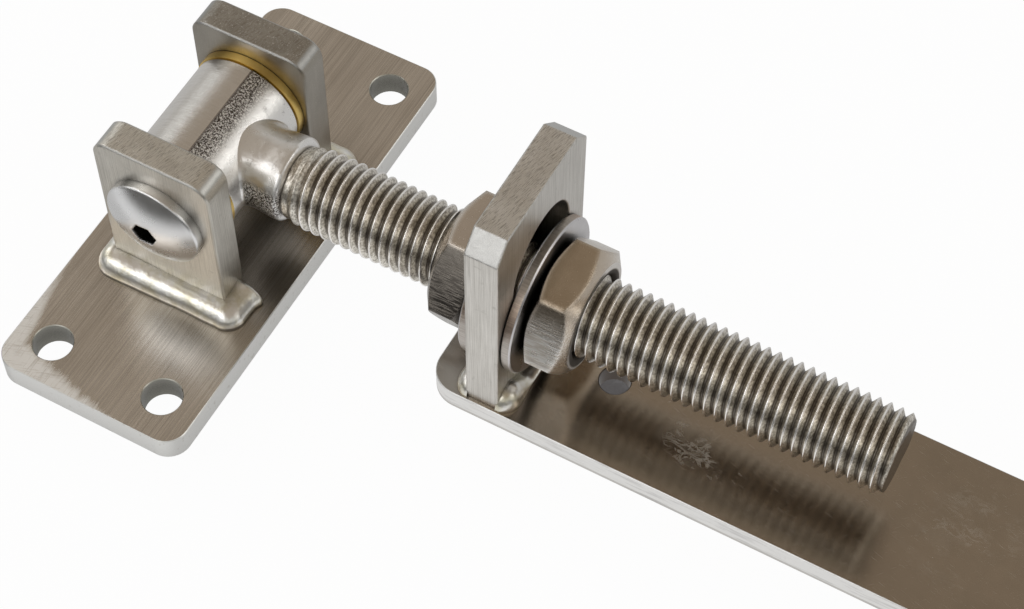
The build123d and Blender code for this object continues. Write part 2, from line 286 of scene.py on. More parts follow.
def floor_finish():
    """White to the eye but for the shade deep under the strap, and dimmer far off in mirrors."""
    finish = new_finish("white_floor")
    matt = finish.node("BsdfDiffuse", {}, {"Color": (0.9, 0.9, 0.9)})
    white = finish.node("Emission", {}, {"Color": (1.0, 1.0, 1.0), "Strength": 1.0})
    shade = finish.node("Emission", {}, {"Color": (0.085, 0.08, 0.08), "Strength": 1.0})
    dim = finish.node("Emission", {}, {"Color": (0.06, 0.057, 0.052), "Strength": 1.0})
    x, y = finish.at("X"), finish.at("Y")
    beside = finish.step(x, *BRIGHTER_X) * finish.step(y, *BRIGHTER_Y)
    bright = finish.largest(beside, finish.step(y, *FRONT_Y))
    near = finish.step(y, *NEAR_Y) * (0.50 + 0.28 * bright)
    mirror = finish.node("MixShader", {}, {0: near, 1: dim, 2: white})
    open_sky = finish.node("AmbientOcclusion", {"samples": 8}, {"Distance": SHADE_REACH}, out="AO")
    inside = finish.step(abs(y - SHADE_Y), *SHADE_HALF) * finish.step(x, *SHADE_X)
    hidden = finish.step(open_sky, 0.85, 0.55) * inside
    seen = finish.node("LightPath", out="Is Camera Ray")
    plain = finish.node("MixShader", {}, {0: seen * 0.97, 1: matt, 2: white})
    plain = finish.node("MixShader", {}, {0: seen * hidden, 1: plain, 2: shade})
    mirrored = finish.largest(
        finish.node("LightPath", out="Is Glossy Ray"),
        finish.node("LightPath", out="Is Transmission Ray"))
    surface = finish.node("MixShader", {}, {0: mirrored, 1: plain, 2: mirror})
    finish.node("OutputMaterial", {}, {"Surface": surface})
    return finish.owner


floor_z = min(cad_low.z, (strap_low.z - SLOT_TRAVEL) * MM) - FLOOR_GAP
floor_mesh = bpy.data.meshes.new("floor")
ROUND_THE_FLOOR = ((-1, -1), (1, -1), (1, 1), (-1, 1))
floor_corners = [(x * FLOOR_HALF, y * FLOOR_HALF, floor_z) for x, y in ROUND_THE_FLOOR]
floor_mesh.from_pydata(floor_corners, [], [(0, 1, 2, 3)])
floor_mesh.materials.append(floor_finish())
floor = bpy.data.objects.new("floor", floor_mesh)
bpy.context.scene.collection.objects.link(floor)

world = bpy.data.worlds.new("room")
bpy.context.scene.world = world
bpy.context.scene.view_settings.view_transform = "Standard"
room = Finish(world)
heading = room.node("TexCoord", out="Generated")
up = room.node("SeparateXYZ", {}, {0: heading}, out="Z")
back = room.node("SeparateXYZ", {}, {0: heading}, out="Y")
low_wall = room.mix(room.step(back, -0.35, 0.15), (0.05, 0.047, 0.042), (0.45, 0.445, 0.43))
room_colour = room.mix(room.step(up, 0.08, 0.28), low_wall, (0.60, 0.60, 0.59))
room_colour = room.mix(room.step(up, 0.52, 0.72), room_colour, (0.33, 0.285, 0.235))
room_light = room.node("Background", {}, {0: room_colour, 1: 1.0})
room.node("OutputWorld", {}, {"Surface": room_light})
print("floor at", round(floor_z / MM, 2), "mm")

# %% [markdown]
# Three soft lamps light the hinge. The long one stands high in front, to the left, and
# makes the bright line along the stud, the neck and the weld bead. The other two fill in
# from the left and the right at about half its power. Wide lamps far off suit bare metal,
# since a small one would only make hard white dots.

# %% Lamps
def lamp(name, place, aim, width, height, power, colour=(1, 1, 1)):
    """A soft rectangular lamp at place, turned towards aim, all in metres and watts."""
    data = bpy.data.lights.new(name, "AREA")
    data.shape = "RECTANGLE"
    data.size = width
    data.size_y = height
    data.energy = power
    data.color = colour
    made = bpy.data.objects.new(name, data)
    made.location = place
    made.rotation_euler = (Vector(aim) - Vector(place)).to_track_quat("-Z", "Y").to_euler()
    bpy.context.scene.collection.objects.link(made)


HINGE_MIDDLE = (0.08, 0.0, 0.03)
lamp("front_lamp", (-0.36, -0.78, 0.82), HINGE_MIDDLE, 1.1, 0.44, 2.5, (0.97, 0.98, 1.0))
lamp("left_lamp", (-1.0, 0.1, 0.75), HINGE_MIDDLE, 0.7, 0.6, 1.6)
lamp("right_lamp", (1.1, 0.3, 0.6), HINGE_MIDDLE, 0.8, 0.4, 1.2, (1.0, 0.97, 0.93))

# %% [markdown]
# Every new piece is a grid of points: one direction runs along the piece and the other
# round it. The points come from numpy in one go. Quads join neighbours, and a wrapped
# direction joins its last line to its first, so the surface closes on itself.

# %% Grids to meshes
def quads(rows, columns, wrap_rows=False, shift=0):
    """Corner numbers of the quads of a grid whose columns wrap round.

    Where the columns wrap, the far corners climb by shift rows, as on a screw."""
    i, j = np.meshgrid(np.arange(rows if wrap_rows else rows - 1), np.arange(columns), indexing="ij")
    climb = (j + 1) // columns * shift
    across = (j + 1) % columns
    up_one = i + 1
    far, far_up = i + climb, up_one + climb
    if wrap_rows:
        up_one, far, far_up = up_one % rows, far % rows, far_up % rows
    far, far_up = np.minimum(far, rows - 1), np.minimum(far_up, rows - 1)
    corners = [i * columns + j, far * columns + across, far_up * columns + across, up_one * columns + j]
    return np.stack(corners, axis=-1).reshape(-1, 4)


def piece(name, body, points, faces, material, smooth_angle=40.0):
    """A closed mesh piece from points in millimetres that rides on body."""
    mesh = bpy.data.meshes.new(name)
    mesh.from_pydata((points.reshape(-1, 3) * MM).tolist(), [], faces.tolist())
    mesh.materials.append(material)
    made = bpy.data.objects.new(name, mesh)
    bpy.context.scene.collection.objects.link(made)
    bpy.ops.object.select_all(action="DESELECT")
    bpy.context.view_layer.objects.active = made
    made.select_set(True)
    bpy.ops.object.mode_set(mode="EDIT")
    bpy.ops.mesh.select_all(action="SELECT")
    bpy.ops.mesh.remove_doubles(threshold=0.002 * MM)
    bpy.ops.mesh.dissolve_degenerate(threshold=0.001 * MM)
    bpy.ops.mesh.normals_make_consistent(inside=False)
    bpy.ops.object.mode_set(mode="OBJECT")
    bpy.ops.object.shade_smooth_by_angle(angle=math.radians(smooth_angle))
    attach(made, body)
    print(name, "has", len(mesh.polygons), "faces")
    return made


def ease(x, low, high):
    """0 below low, 1 above high, and a smooth ramp between."""
    t = np.clip((x - low) / (high - low), 0, 1)
    return t * t * (3 - 2 * t)


def lumps(points, size, seed):
    """Smooth noise from -1 to 1. Each corner of a cubic lattice of that size has a random
    number, and a point takes the eased mean of the eight corners round it."""
    cell = np.floor(points / size).astype(np.int64)
    part = points / size - cell
    part = part * part * (3 - 2 * part)
    total = np.zeros(points.shape[:-1])
    for corner in np.ndindex(2, 2, 2):
        key = cell + np.array(corner)
        mixed = key[..., 0] * 73856093 ^ key[..., 1] * 19349663 ^ key[..., 2] * 83492791 ^ seed * 9176
        mixed = (mixed ^ (mixed >> 13)) * 1274126177 & 0x7FFFFFFF
        weight = np.prod(np.where(np.array(corner) == 1, part, 1 - part), axis=-1)
        total += weight * (mixed / 0x3FFFFFFF - 1)
    return total


# %% [markdown]
# The finishes. All of these are bare metal, so the colour of each is close to white or
# grey and the look comes from how rough it is and from its fine relief. Brushed plate
# has scratches in one direction. They are made by noise that is squeezed across the
# grain and stretched along it. A zone along the near corner was ground a second time,
# and rust creeps down the walls of the drilled holes.

# %% Base plate finish
HOLE_X = 14.7
HOLE_Y = 49.8
HOLE_LOOK = (5.1, 4.95)


def plate_finish():
    """Mill-finished plate, brushed along Y, with a hazy ground zone round one corner, and
    painted shade with a dark reflection of the stud on the plate under it."""
    finish = new_finish("brushed_plate")
    grain = finish.noise((0.16, 22.0, 2.0), detail=4.0)
    streaks = finish.noise((1.1, 70.0, 8.0), detail=4.0, roughness=0.65)
    clouds = finish.noise((14.0, 22.0, 14.0), detail=4.0)
    lines = finish.step(finish.noise((0.35, 40.0, 3.0), detail=2.0), 0.60, 0.72)
    cross = finish.largest(
        finish.step(finish.noise((0.22, 5.0, 2.0), detail=3.0, turn=72.0), 0.56, 0.64),
        finish.step(finish.noise((0.22, 6.0, 2.0), detail=3.0), 0.56, 0.64))
    tone = finish.mix(clouds * 0.5 + streaks * 0.5, (0.50, 0.455, 0.40), (1.0, 0.95, 0.88))
    tone = finish.mix(finish.step(grain, 0.40, 0.64) * 0.45, tone, (0.40, 0.36, 0.31))
    tone = finish.mix(lines * 0.35, tone, (0.30, 0.26, 0.22))
    side = finish.step(abs(finish.facing("Z")), 0.97, 0.9)
    stain = finish.step(finish.noise((1.8, 1.2, 1.8), detail=4.0), 0.60, 0.70)
    side_tone = finish.mix(stain * 0.35, (0.84, 0.835, 0.81), (0.50, 0.46, 0.40))
    x, y = finish.at("X"), finish.at("Y")
    # Painted shade: the plate is darker under the stud, standing in for the stud's shadow and dark
    # reflection.
    stud_shade = finish.step(x, 6.0, 19.0) * finish.step(abs(y), 36.0, 10.0) * (1.0 - side)
    tone = finish.mix(stud_shade * 0.45, tone, (0.20, 0.165, 0.13))
    to_left = x - plate_low.x
    to_front = y - plate_low.y
    ragged = finish.noise((0.9, 7.0, 6.0), detail=5.0, roughness=0.65) * 5.0 - 2.5
    left_zone = finish.step(to_left + 0.20 * to_front + 0.5 * ragged, 7.0, 4.5)
    front_zone = finish.step(to_front + 0.27 * to_left + ragged, 9.5, 6.5)
    ground = finish.largest(left_zone, front_zone) * (1.0 - side)
    colour = finish.mix(side, tone, side_tone)
    colour = finish.mix(ground * (0.9 - 0.6 * cross), colour, (1.0, 0.99, 0.96))
    in_hole = finish.largest(*(
        finish.step(finish.distance(x - side_x * HOLE_X, y - side_y * HOLE_Y), *HOLE_LOOK)
        for side_x in (-1, 1) for side_y in (-1, 1)))
    rust = finish.step(finish.noise((1.2, 1.2, 1.2), detail=4.0), 0.50, 0.62)
    rust = rust * finish.step(finish.facing("X"), 0.1, -0.5)
    bore_tone = finish.mix(rust * 0.8, (0.56, 0.55, 0.49), (0.20, 0.17, 0.13))
    colour = finish.mix(in_hole * side, colour, bore_tone)
    roughness = 0.14 + 0.08 * clouds + 0.12 * grain + 0.12 * side + 0.16 * ground + 0.12 * cross * ground
    relief = finish.bump(grain, 0.010, finish.bump(streaks, 0.03))
    relief = finish.bump(1.0 - cross * ground, 0.018, relief)
    # The ambient occlusion here reaches 32 mm, so its painted shade also darkens the top under the stud.
    return finish.metal(colour, roughness, relief, 1.0 - 0.6 * ground, 0.8, 32.0)


dress(plate_finish(), "base_plate")

# %% [markdown]
# The three lugs are sawn from flat bar. Their faces keep the upright grain of the bar,
# and their tops show short scratches from the grinder. One function makes all three, with
# other tones and another part of the same noise. The rear lug's much darker tones are
# painted shade, and the sloping chamfer faces of each lug carry a painted blue-grey tint
# of reflected light.

# %% Lug finish
def lug_finish(name, pale, dark, shift):
    """Satin plate sawn from bar: an upright grain, ground patches and soft dark stains."""
    finish = new_finish(name)
    grain = finish.noise((0.16, 0.16, 16.0), detail=4.0, roughness=0.7)
    top = finish.step(finish.facing("Z"), 0.85, 0.95)
    scratches = finish.step(finish.noise((0.18, 2.2, 1.0), detail=4.0, turn=14.0), 0.50, 0.60) * top
    specks = finish.step(finish.noise((0.28, 0.28, 0.28), detail=3.0), 0.60, 0.68)
    clouds = finish.noise((6.0, 6.0, 9.0), detail=4.0, shift=shift)
    stain = finish.step(finish.noise((2.4, 2.4, 2.0), detail=4.0, shift=shift), 0.62, 0.74)
    colour = finish.mix(clouds, dark, pale)
    colour = finish.mix(finish.step(grain, 0.38, 0.62) * 0.42 * (1.0 - top), colour, (0.30, 0.28, 0.24))
    colour = finish.mix(scratches * 0.6, colour, (0.24, 0.20, 0.16))
    colour = finish.mix(stain * 0.35, colour, (0.34, 0.33, 0.29))
    # Painted reflection: faces that slope at about 45 degrees get a blue-grey tint of the light they
    # mirror.
    slanted_reflection_tint = finish.step(abs(finish.facing("Z") - 0.7), 0.2, 0.1)
    colour = finish.mix(slanted_reflection_tint * 0.45, colour, (0.46, 0.48, 0.49))
    colour = finish.mix(specks * (0.2 + 0.4 * top), colour, (1.0, 0.98, 0.95))
    roughness = 0.22 + 0.12 * clouds + 0.12 * grain + 0.10 * scratches
    relief = finish.bump(grain * (1.0 - top), 0.016, finish.rounded(0.6))
    relief = finish.bump(clouds, 0.10, relief)
    return finish.metal(colour, roughness, finish.bump(specks - scratches, 0.010, relief))


dress(lug_finish("satin_front_lug", (0.84, 0.81, 0.74), (0.58, 0.55, 0.49), (0, 0, 0)), "front_lug")
# The rear lug's darker tones are painted shade.
dress(lug_finish("satin_rear_lug_painted_shade", (0.50, 0.465, 0.41), (0.27, 0.25, 0.215), (25, 9, 4)), "rear_lug")
dress(lug_finish("satin_slotted_lug", (0.88, 0.855, 0.81), (0.64, 0.61, 0.56), (40, 3, 11)), "bracket_lug")

# %% [markdown]
# The strap comes straight from the rolling mill: nearly a mirror, brown from the room
# above it, with stray scratches and a pale stain where something dried. The stain is
# noise as well. Only where it crosses its middle value does a thin branching line
# appear, and a second noise breaks the patch up.

# %% Strap finish
STAIN = (128.0, -4.0)
FAR_STAIN = (185.0, 2.0)
NEAR_HOLE_X = 102.2


def strap_finish():
    """Mill-rolled strap: smooth and dark with random fine scratches and a pale dried stain."""
    finish = new_finish("rolled_strap")
    mottled = finish.noise((5.0, 5.0, 5.0), detail=6.0, roughness=0.65)
    clouds = finish.noise((30.0, 22.0, 10.0), detail=3.0)
    fine = finish.noise((4.5, 0.10, 2.0), detail=3.0, turn=14.0)
    crossing = finish.noise((3.5, 0.08, 2.0), detail=3.0, turn=-47.0)
    scratches = finish.largest(finish.step(fine, 0.66, 0.72), finish.step(crossing, 0.68, 0.74))
    specks = finish.step(finish.noise((0.35, 0.35, 0.35), detail=2.0), 0.72, 0.78)
    branching = finish.noise((7.0, 3.2, 4.0), detail=7.0, roughness=0.7, distortion=1.2)
    x, y = finish.at("X"), finish.at("Y")
    main_patch = finish.step(finish.distance(x - STAIN[0], y - STAIN[1]), 15.0, 4.0)
    far_patch = finish.step(finish.distance(x - FAR_STAIN[0], y - FAR_STAIN[1]), 18.0, 4.0)
    threads = finish.step(abs(branching - 0.5), 0.045, 0.012)
    film = finish.step(branching, 0.50, 0.60)
    broken = finish.step(finish.noise((9.0, 6.0, 9.0), detail=3.0, turn=30.0), 0.46, 0.60)
    dried = finish.largest(threads, film * 0.3) * finish.largest(main_patch, far_patch * 0.45) * broken
    tone = finish.mix(clouds * 0.5 + mottled * 0.5, (0.37, 0.322, 0.262), (0.56, 0.472, 0.38))
    side = finish.step(abs(finish.facing("Z")), 0.97, 0.9)
    lower = finish.step(finish.at("Z"), 7.6, 7.0)
    streaked = finish.step(finish.noise((9.0, 3.0, 0.9), detail=5.0, roughness=0.65), 0.48, 0.66)
    side_tone = finish.mix(lower, (0.86, 0.85, 0.83), (0.60, 0.58, 0.55))
    side_tone = finish.mix(streaked * 0.45, side_tone, (0.46, 0.45, 0.44))
    colour = finish.mix(side, tone, side_tone)
    # Painted shade: the wall of the near hole is painted nearly black.
    in_hole = finish.step(finish.distance(x - NEAR_HOLE_X, y), 4.2, 4.0)
    colour = finish.mix(in_hole * side, colour, (0.07, 0.055, 0.045))
    foot = finish.step(x, 84.0, 68.0) * finish.step(clouds, 0.30, 0.60)
    haze = finish.largest(dried * 0.3, specks * 0.5, scratches * 0.25, foot * 0.75) * (1.0 - side)
    colour = finish.mix(haze, colour, (0.74, 0.735, 0.71))
    roughness = 0.15 + 0.10 * mottled + 0.2 * scratches + 0.12 * side + 0.25 * dried
    relief = finish.bump(mottled, 0.025, finish.bump(1.0 - scratches, 0.004))
    return finish.metal(colour, roughness, relief, 1.0 - haze)


dress(strap_finish(), "strap")

# %% [markdown]
# The pin's head is turned and polished, and the pit of its hexagon socket is painted dark
# as shade. The bushes are bearing bronze, the only colour on the hinge, and turned too.
# The marks of a lathe are noise that is thin along the turning axis and long round it.

# %% Pin and bush finishes
SOCKET_R = 3.6
head_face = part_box("pivot_screw")[0].y / MM


def pin_finish():
    """Polished head with faint turning marks, and painted shade in the depth of its hexagon socket."""
    finish = new_finish("polished_pin")
    clouds = finish.noise((5.0, 5.0, 5.0), detail=4.0)
    specks = finish.step(finish.noise((0.5, 0.5, 0.5), detail=2.0), 0.62, 0.75)
    colour = finish.mix(clouds, (0.80, 0.80, 0.80), (0.92, 0.92, 0.92))
    x = finish.at("X")
    z = finish.at("Z") - pivot_z
    near_axis = finish.step(finish.distance(x, z), SOCKET_R, SOCKET_R - 0.2)
    # Painted shade: the depth of the hexagon socket is painted nearly black.
    socket = near_axis * finish.step(finish.at("Y"), head_face + 0.25, head_face + 0.9)
    colour = finish.mix(socket, colour, (0.10, 0.10, 0.08))
    roughness = 0.24 + 0.08 * clouds + 0.12 * specks
    relief = finish.bump(clouds, 0.03, finish.rounded(0.5))
    return finish.metal(colour, roughness, finish.bump(specks, 0.004, relief), 1.0, 0.9)


def bush_finish():
    """Bearing bronze, turned, and yellow where it has rubbed."""
    finish = new_finish("turned_bronze")
    worn = finish.noise((3.0, 3.0, 3.0), detail=4.0)
    lines = finish.noise((0.5, 0.10, 0.5), detail=2.0)
    colour = finish.mix(worn * 0.6 + lines * 0.4, (0.74, 0.45, 0.09), (1.0, 0.80, 0.32))
    return finish.metal(colour, 0.22 + 0.2 * worn, finish.bump(lines, 0.012), 1.0, 0.3)


dress(pin_finish(), "pivot_screw", "pivot_sleeve")
dress(bush_finish(), "front_bush", "rear_bush")

# %% [markdown]
# Nuts are pressed cold, so their flats are bright and smooth, and the lower ones keep
# fine ribs from the die. The lower flats are also painted dark on the inner nut as
# shade and bright on the outer nut as a highlight, and the bore of each nut is painted
# dark as shade. A washer is stamped from sheet: its faces are flat, and its rim is
# sheared and coarse, with a painted coppery highlight. Which kind of face a point lies
# on is read from the direction of the surface, so one material serves the whole nut.

# %% Nut and washer finishes
BORE_DROP = 0.7
BORE_LOOK = (11.9, 11.3)


def nut_finish(name, pale, dark, lower_flats_light_and_shade):
    """Cold-formed nut: bright, slightly warm, with faint ribs across the lower flats, which carry painted
    light and shade in the tone given for them, and painted shade in its bore.
    """
    finish = new_finish(name)
    ribs = finish.noise((3.0, 0.5, 0.28), detail=4.0)
    clouds = finish.noise((6.0, 6.0, 6.0), detail=4.0)
    specks = finish.step(finish.noise((0.35, 0.9, 0.9), detail=3.0), 0.64, 0.72)
    face = finish.step(abs(finish.facing("X")), 0.8, 0.95)
    y = finish.at("Y")
    z = finish.at("Z") - pivot_z
    low = finish.step(finish.facing("Z"), 0.80, 0.60) * (1.0 - face) * finish.step(z, 15.0, 4.0)
    colour = finish.mix(clouds, dark, pale)
    # Painted light and shade: the lower flats take the colour given for them, dark on the inner nut and
    # bright on the outer nut.
    colour = finish.mix(low * (0.5 + 0.5 * finish.step(ribs, 0.40, 0.60)), colour, lower_flats_light_and_shade)
    colour = finish.mix(face * 0.7, colour, (0.88, 0.86, 0.84))
    # Painted shade: a near-black ring round the stud, set a little low, where the nut's bore meets the
    # thread.
    bore = finish.step(finish.distance(y, z + BORE_DROP), *BORE_LOOK)
    colour = finish.mix(bore * 0.95, colour, (0.05, 0.045, 0.04))
    roughness = 0.13 + 0.08 * clouds + 0.16 * specks + 0.12 * face + 0.10 * low + 0.5 * bore
    relief = finish.bump(ribs * low, 0.05, finish.rounded(1.5))
    return finish.metal(colour, roughness, finish.bump(clouds, 0.06, relief), 1.0 - bore, 0.9)


def washer_finish():
    """Stamped washer: a flat pale face and a coarse sheared rim with a painted coppery highlight where it
    faces partly up.
    """
    finish = new_finish("stamped_washer")
    rim = finish.step(abs(finish.facing("X")), 0.6, 0.3)
    ribs = finish.noise((5.0, 0.30, 0.30), detail=3.0)
    clouds = finish.noise((4.0, 4.0, 4.0), detail=4.0)
    # Painted highlight: a coppery band on the rim where the surface faces partly up.
    painted_rim_highlight = finish.step(abs(finish.facing("Z") - 0.55), 0.35, 0.05)
    face = finish.mix(clouds, (0.58, 0.56, 0.56), (0.78, 0.77, 0.78))
    sheared = finish.mix(ribs, (0.26, 0.23, 0.20), (0.74, 0.69, 0.64))
    sheared = finish.mix(painted_rim_highlight * 0.7, sheared, finish.mix(ribs, (0.36, 0.24, 0.17), (1.0, 0.76, 0.60)))
    colour = finish.mix(rim, face, sheared)
    relief = finish.bump(ribs * rim, 0.06, finish.rounded(0.3))
    return finish.metal(colour, 0.22 + 0.16 * clouds, relief, 1.0, 0.9)


dress(washer_finish(), "inner_washer", "outer_washer")
# The third tone of each nut paints its lower flats: painted shade on the inner nut, a painted highlight on
# the outer nut.
inner_tones = (0.82, 0.75, 0.68), (0.62, 0.555, 0.48), (0.09, 0.08, 0.072)
outer_tones = (0.66, 0.56, 0.44), (0.46, 0.37, 0.27), (1.0, 0.97, 0.92)
dress(nut_finish("inner_nut_shaded_below", *inner_tones), "inner_nut")
dress(nut_finish("outer_nut_lit_below", *outer_tones), "outer_nut")

# %% [markdown]
# A rolled thread gets a painted highlight on its crests and painted shade in its roots,
# and how far a point lies from the stud's axis tells which it is. The eye is cast:
# blasted skin with pits, but a satin strip on the barrel was turned in a lathe, and a
# sharp line divides the two. The angle round the pivot tells on which side of that
# line a point lies.

# %% Thread, casting and weld finishes
STUD_R = 9.525
THREAD_DEPTH = 1.5
TURNED_FROM = 78.3


def thread_finish():
    """Rolled thread: a painted highlight on the crests, painted shade in the roots and olive speckled
    flanks.
    """
    finish = new_finish("rolled_thread")
    y = finish.at("Y")
    z = finish.at("Z") - pivot_z
    radius = finish.distance(y, z)
    # Painted highlight on the crests and painted shade in the roots, found from the distance to the axis.
    crest = finish.step(radius, STUD_R - 0.325, STUD_R - 0.075)
    root = finish.step(radius - (STUD_R - THREAD_DEPTH), 0.575, 0.125)
    speckle = finish.noise((0.4, 0.7, 0.7), detail=4.0, roughness=0.65)
    lines = finish.noise((0.10, 6.0, 6.0), detail=3.0)
    clouds = finish.noise((7.0, 5.0, 5.0), detail=4.0)
    flank = finish.mix(finish.step(speckle, 0.35, 0.65), (0.40, 0.365, 0.31), (0.94, 0.895, 0.81))
    colour = finish.mix(crest, flank, (1.0, 0.97, 0.94))
    colour = finish.mix(root * 0.85, colour, (0.14, 0.12, 0.10))
    roughness = 0.16 + 0.08 * clouds + 0.14 * (1.0 - crest)
    return finish.metal(colour, roughness, finish.bump(lines, 0.010, finish.bump(speckle, 0.02)), 1.0, 0.15)


def cast_finish():
    """Cast eye: blasted and pitted, but for a satin strip that was turned in a lathe."""
    finish = new_finish("cast_eye")
    grit = finish.noise((0.35, 0.35, 0.35), detail=4.0, roughness=0.65)
    patches = finish.noise((3.0, 3.0, 3.0), detail=4.0)
    pits = finish.step(finish.noise((0.38, 0.38, 0.38), detail=4.0, roughness=0.7), 0.45, 0.53)
    x, y = finish.at("X"), finish.at("Y")
    z = finish.at("Z") - pivot_z
    round_pivot = finish.node("Math", {"operation": "ARCTAN2"}, {0: z, 1: x}) * (180.0 / math.pi)
    on_barrel = finish.step(finish.distance(x, z), barrel_r + 0.85, barrel_r + 0.35)
    turned = finish.step(round_pivot, TURNED_FROM, TURNED_FROM + 0.6) * on_barrel
    below = finish.step(round_pivot, TURNED_FROM - 27.0, TURNED_FROM - 13.0) * on_barrel
    line = finish.step(abs(round_pivot - TURNED_FROM), 1.6, 0.4) * on_barrel
    shaded = finish.step(y, -6.5, -8.0) * finish.step(abs(z - 0.5), 5.0, 3.0) * (1.0 - on_barrel)
    rough = finish.largest(below, shaded, finish.step(patches, 0.58, 0.74) * 0.35) * (1.0 - turned)
    rings = finish.noise((6.0, 0.14, 6.0), detail=3.0)
    dark = pits * rough
    colour = finish.mix(dark, (0.90, 0.885, 0.86), (0.075, 0.06, 0.05))
    colour = finish.mix(turned, colour, finish.mix(rings, (0.66, 0.63, 0.59), (0.92, 0.89, 0.85)))
    colour = finish.mix(line * 0.8, colour, (0.16, 0.13, 0.11))
    roughness = 0.17 + 0.12 * patches + 0.14 * grit * (1.0 - turned)
    relief = finish.bump(grit * (0.25 + rough) * (1.0 - turned), 0.12, finish.bump(patches, 0.10))
    return finish.metal(colour, roughness, finish.bump(rings * turned, 0.012, relief), 1.0, 0.5)


def weld_finish():
    """Bright weld metal with a faint gold and olive tint, dark where it meets the plate."""
    finish = new_finish("bright_weld")
    tint = finish.noise((4.0, 4.0, 4.0), detail=3.0)
    fine = finish.noise((0.25, 2.2, 2.2), detail=3.0)
    toe = finish.step(abs(finish.at("Z") - plate_top - 0.15), 0.7, 0.2)
    colour = finish.mix(finish.step(tint, 0.35, 0.7), (0.92, 0.91, 0.88), (0.70, 0.66, 0.52))
    colour = finish.mix(toe * 0.8, colour, (0.10, 0.09, 0.07))
    return finish.metal(colour, 0.24 + 0.12 * tint, finish.bump(fine, 0.03, finish.bump(tint, 0.25)))


stud_material = thread_finish()
cast_material = cast_finish()
weld_material = weld_finish()
print("finishes:", len(bpy.data.materials))

# %% [markdown]
# The stud carries a coarse right-hand thread of 2.54 mm pitch. A screw surface is a
# sheared grid: going once round raises every point by one pitch, so where the grid
# wraps, each line joins the one that is a pitch further on.

# %% Threaded stud
PITCH = 2.54
THREAD_FROM = 22.4
STUD_FROM = 20.2
END_CHAMFER = 1.3
TURN_STEPS = 72
# Along one pitch: where each line lies, and how much of the thread's height it has
THREAD_LINES = np.array([
    (0.00, 0.00), (0.03, 0.01), (0.06, 0.06), (0.10, 0.15), (0.40, 0.85), (0.44, 0.95),
    (0.47, 1.00), (0.53, 1.00), (0.56, 0.95), (0.60, 0.85), (0.90, 0.15), (0.94, 0.06),
    (0.97, 0.01),
])


def threaded_stud():
    """x = start + pitch * (line + angle / one turn), and the radius is the thread's root
    plus its depth times the height of that line. Before the first line and after the
    last the radius falls to nothing, which closes the two ends."""
    lines = len(THREAD_LINES)
    turns = int((stud_reach - STUD_FROM) / PITCH) + 9
    row = np.arange(turns * lines)[:, None]
    step = np.arange(TURN_STEPS)[None, :]
    raw = STUD_FROM + PITCH * (row // lines - 4 + THREAD_LINES[row % lines, 0] + step / TURN_STEPS)
    height = THREAD_LINES[row % lines, 1] * ease(raw, THREAD_FROM - 1.0, THREAD_FROM + 2 * PITCH)
    first = ease(raw, THREAD_FROM - 0.8, THREAD_FROM + 0.4)
    core = STUD_R - THREAD_DEPTH + (1 - ease(raw, THREAD_FROM, THREAD_FROM + 3 * PITCH)) * 0.5 * first
    radius = core + (STUD_R - core) * height
    end_cone = STUD_R - END_CHAMFER + (stud_reach - raw) * 1.0
    radius = np.minimum(radius, np.maximum(end_cone, STUD_R - END_CHAMFER))
    before = np.clip((raw - STUD_FROM) / PITCH + 1, 0, 1)
    after = np.clip((stud_reach - raw) / PITCH + 1, 0, 1)
    radius = radius * before * after
    x = np.clip(raw, STUD_FROM, stud_reach)
    angle = 2 * np.pi * step / TURN_STEPS + 0 * raw
    points = np.stack([x, radius * np.cos(angle), pivot_z + radius * np.sin(angle)], axis=-1)
    return points, quads(turns * lines, TURN_STEPS, shift=lines)


stud_points, stud_faces = threaded_stud()
piece("threaded_stud", "eye", stud_points, stud_faces, stud_material, 50.0)

# %% [markdown]
# The eye is a short tube across the end of the bolt. Its section is drawn once, as a
# closed loop of places along the tube and radii, and carried round the pivot.

# %% Eye barrel
BORE_R = 8.07
BARREL_STEPS = 160


def eye_barrel():
    """Each point of the loop (y, r) goes round the pivot: x = r cos a, z = pivot + r sin a."""
    chamfer = 0.5
    outer = np.linspace(-barrel_half + chamfer, barrel_half - chamfer, 48)
    loop = np.concatenate([
        [(-barrel_half, BORE_R), (-barrel_half, barrel_r - chamfer)],
        np.stack([outer, np.full_like(outer, barrel_r)], axis=-1),
        [(barrel_half, barrel_r - chamfer), (barrel_half, BORE_R)],
    ])
    angle = np.linspace(0, 2 * np.pi, BARREL_STEPS, endpoint=False)[:, None]
    r = loop[None, :, 1] + 0 * angle
    y = loop[None, :, 0] + 0 * angle
    points = np.stack([r * np.cos(angle), y, pivot_z + r * np.sin(angle)], axis=-1)
    return points, quads(BARREL_STEPS, len(loop), wrap_rows=True)


barrel_points, barrel_faces = eye_barrel()
barrel = piece("eye_barrel", "eye", barrel_points, barrel_faces, cast_material)
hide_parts("eye_bolt")

# %% [markdown]
# The neck flows out of the barrel like poured metal. From each point of a ring on the
# barrel a curve leaves along the barrel's skin and bends round to run along the stud,
# down to the waist and up to a small collar where the thread begins.

# %% Eye neck
RING_R = 11.0
RING_FLATTER = 0.7
WAIST = (15.2, 9.7)
COLLAR = (21.2, 10.0)
LEAVE_PULL = 3.0
ARRIVE_PULL = 4.0
NECK_ROUND = 180
NECK_ALONG = 40


